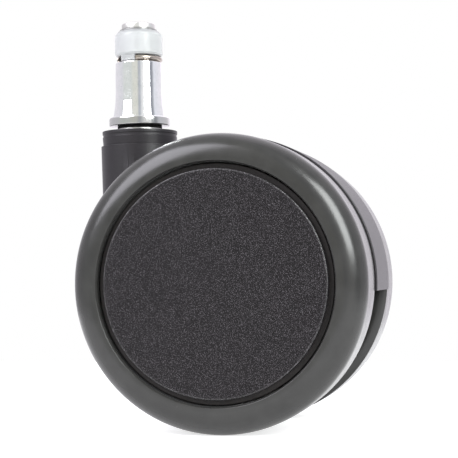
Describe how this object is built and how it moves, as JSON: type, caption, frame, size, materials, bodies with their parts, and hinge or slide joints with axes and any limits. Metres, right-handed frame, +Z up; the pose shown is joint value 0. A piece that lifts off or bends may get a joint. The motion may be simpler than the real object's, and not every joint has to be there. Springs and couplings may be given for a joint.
{
  "type": "chair caster wheel",
  "caption": "Twin-wheel office chair caster with soft grey tyres, black hood and socket, and an 11 mm grip-ring stem that swivels.",
  "frame": {"origin": "on the stem's axis, in the plane of the flange's top face, which seats against the chair's leg", "axes": "+Z up the stem towards the chair; +Y along the axle, from the front wheel to the rear wheel; +X the way the wheels trail behind the stem"},
  "size_m": [0.0658, 0.0512, 0.0935],
  "materials": {
    "zinc_steel": "bright zinc plate, finely drawn, slightly speckled",
    "ring_steel": "nickel-toned drawn spring wire",
    "spring_steel": "oiled dark spring steel",
    "white_nylon": "frosted translucent white nylon",
    "natural_acetal": "satin natural acetal",
    "black_nylon": "fine spark-eroded matt black nylon",
    "cover_nylon": "spark-eroded matt black nylon with a glinting grain",
    "rim_nylon": "satin black nylon",
    "seal_rubber": "matt black rubber",
    "grey_tyre": "smooth satin dark grey polyurethane"
  },
  "bodies": {
    "stem": {"stem_pin": "zinc_steel", "tip_washer": "zinc_steel", "stem_cap": "white_nylon", "grip_ring": "ring_steel", "stem_barrel": "zinc_steel", "dust_seal": "seal_rubber", "swivel_thrust_washer": "zinc_steel", "pin_snap_ring": "spring_steel"},
    "fork": {"fork_body": "black_nylon", "socket_collar": "black_nylon", "socket_bush": "zinc_steel", "axle": "zinc_steel", "front_spacer": "natural_acetal", "rear_spacer": "natural_acetal", "front_axle_clip": "spring_steel", "rear_axle_clip": "spring_steel"},
    "front_wheel": {"front_tyre": "grey_tyre", "front_rim": "rim_nylon", "front_cover": "cover_nylon", "front_hub_bush": "natural_acetal"},
    "rear_wheel": {"rear_tyre": "grey_tyre", "rear_rim": "rim_nylon", "rear_cover": "cover_nylon", "rear_hub_bush": "natural_acetal"}
  },
  "joints": [
    {"name": "swivel", "type": "hinge", "parent": "stem", "child": "fork", "pos_m": [0, 0, 0], "axis": [0, 0, 1], "continuous": true},
    {"name": "front_roll", "type": "hinge", "parent": "fork", "child": "front_wheel", "pos_m": [0.02366, 0, -0.0389], "axis": [0, 1, 0], "continuous": true},
    {"name": "rear_roll", "type": "hinge", "parent": "fork", "child": "rear_wheel", "pos_m": [0.02366, 0, -0.0389], "axis": [0, 1, 0], "continuous": true}
  ]
}
